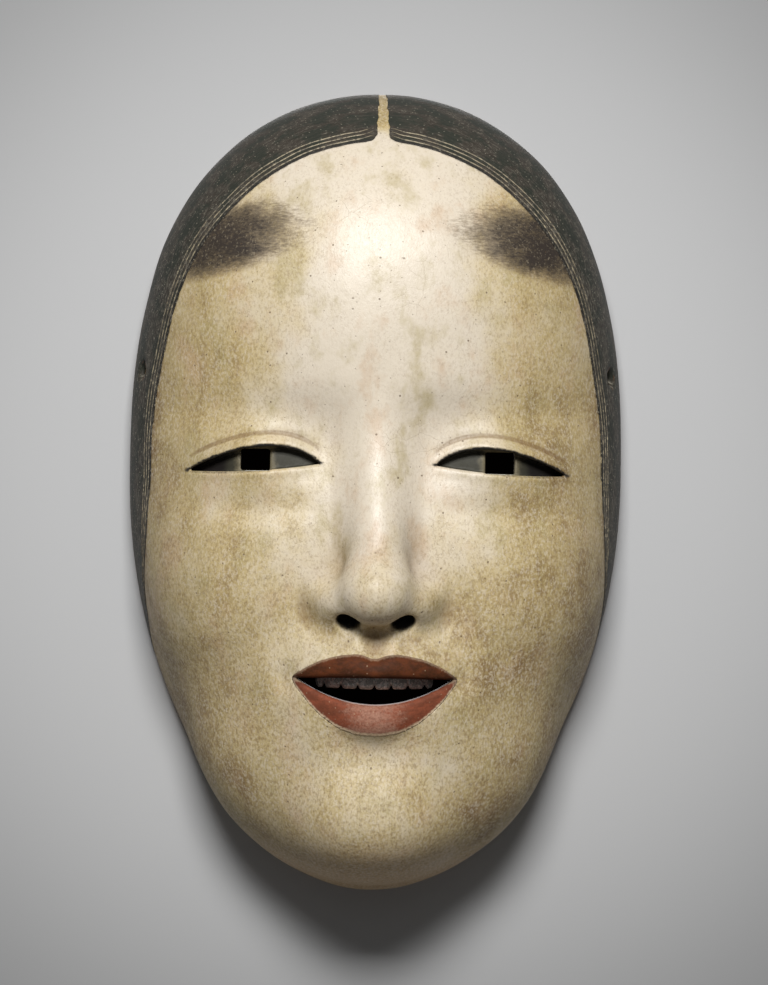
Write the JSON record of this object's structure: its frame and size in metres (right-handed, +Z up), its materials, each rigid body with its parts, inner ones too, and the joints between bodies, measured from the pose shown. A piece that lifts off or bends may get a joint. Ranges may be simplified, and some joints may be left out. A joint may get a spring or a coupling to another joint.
{
  "type": "noh mask",
  "caption": "Carved and hollowed wooden noh mask of the young-woman type, with a shell-white face, parted black hair, red lips, blackened teeth and pierced eyes.",
  "frame": {"origin": "centre of the flat back rim, half way up the mask", "axes": "+Z up to the crown, the face looks along -Y, +X to the right of someone facing the mask"},
  "size_m": [0.131, 0.0687, 0.2121],
  "materials": {
    "cypress": "bare, hand carved",
    "urushi": "dark brown lacquer, semi-gloss",
    "gofun": "aged shell white, burnished",
    "ink_black": "worn matt black",
    "upper_red": "dark red, worn",
    "lower_red": "vermilion, worn",
    "blackened": "blackened, semi-gloss",
    "eye_paint": "painted, aged"
  },
  "bodies": {
    "root": {"cypress_core": "cypress", "back_lacquer": "urushi", "face_coat": "gofun", "hair_left": "ink_black", "hair_right": "ink_black", "upper_lip": "upper_red", "lower_lip": "lower_red", "upper_teeth": "blackened", "eye_left": "eye_paint", "eye_right": "eye_paint"}
  },
  "joints": []
}
